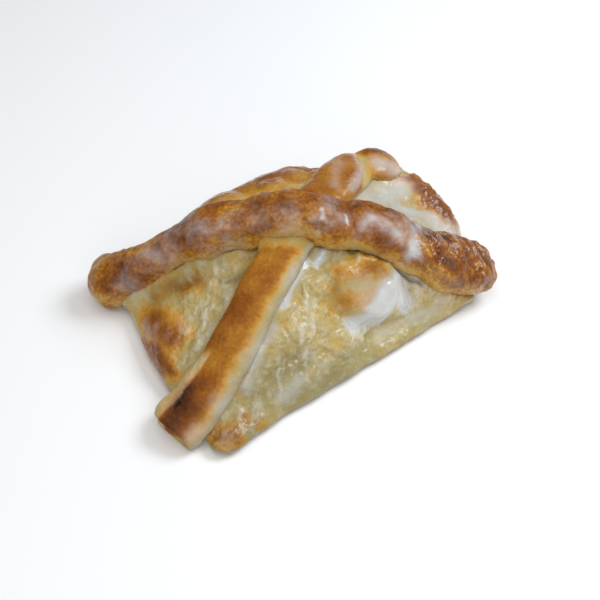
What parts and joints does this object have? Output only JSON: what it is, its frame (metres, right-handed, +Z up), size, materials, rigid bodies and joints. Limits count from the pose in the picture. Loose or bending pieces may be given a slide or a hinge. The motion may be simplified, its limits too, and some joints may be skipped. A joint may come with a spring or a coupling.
{
  "type": "apple roll",
  "caption": "Baked pastry parcel filled with fruit, with two strips of dough laid crosswise over its top, browned and glazed.",
  "frame": {"origin": "on the flat underside of the parcel, near the middle of its plan", "axes": "+X along the parcel's long side, +Y across it towards its high far side, +Z up"},
  "size_m": [0.1297, 0.0865, 0.0471],
  "materials": {
    "pale_dough": "pale golden baked dough under a thin clear glaze, browned at its ends, satin to glossy",
    "browned_dough": "mottled brown baked crust, paler low on its sides, satin with glossy places",
    "icing": "thin, half-clear whitish sugar icing, smooth and glossy"
  },
  "bodies": {
    "root": {"parcel": "pale_dough", "under_strip": "browned_dough", "over_strip": "browned_dough"}
  },
  "joints": []
}
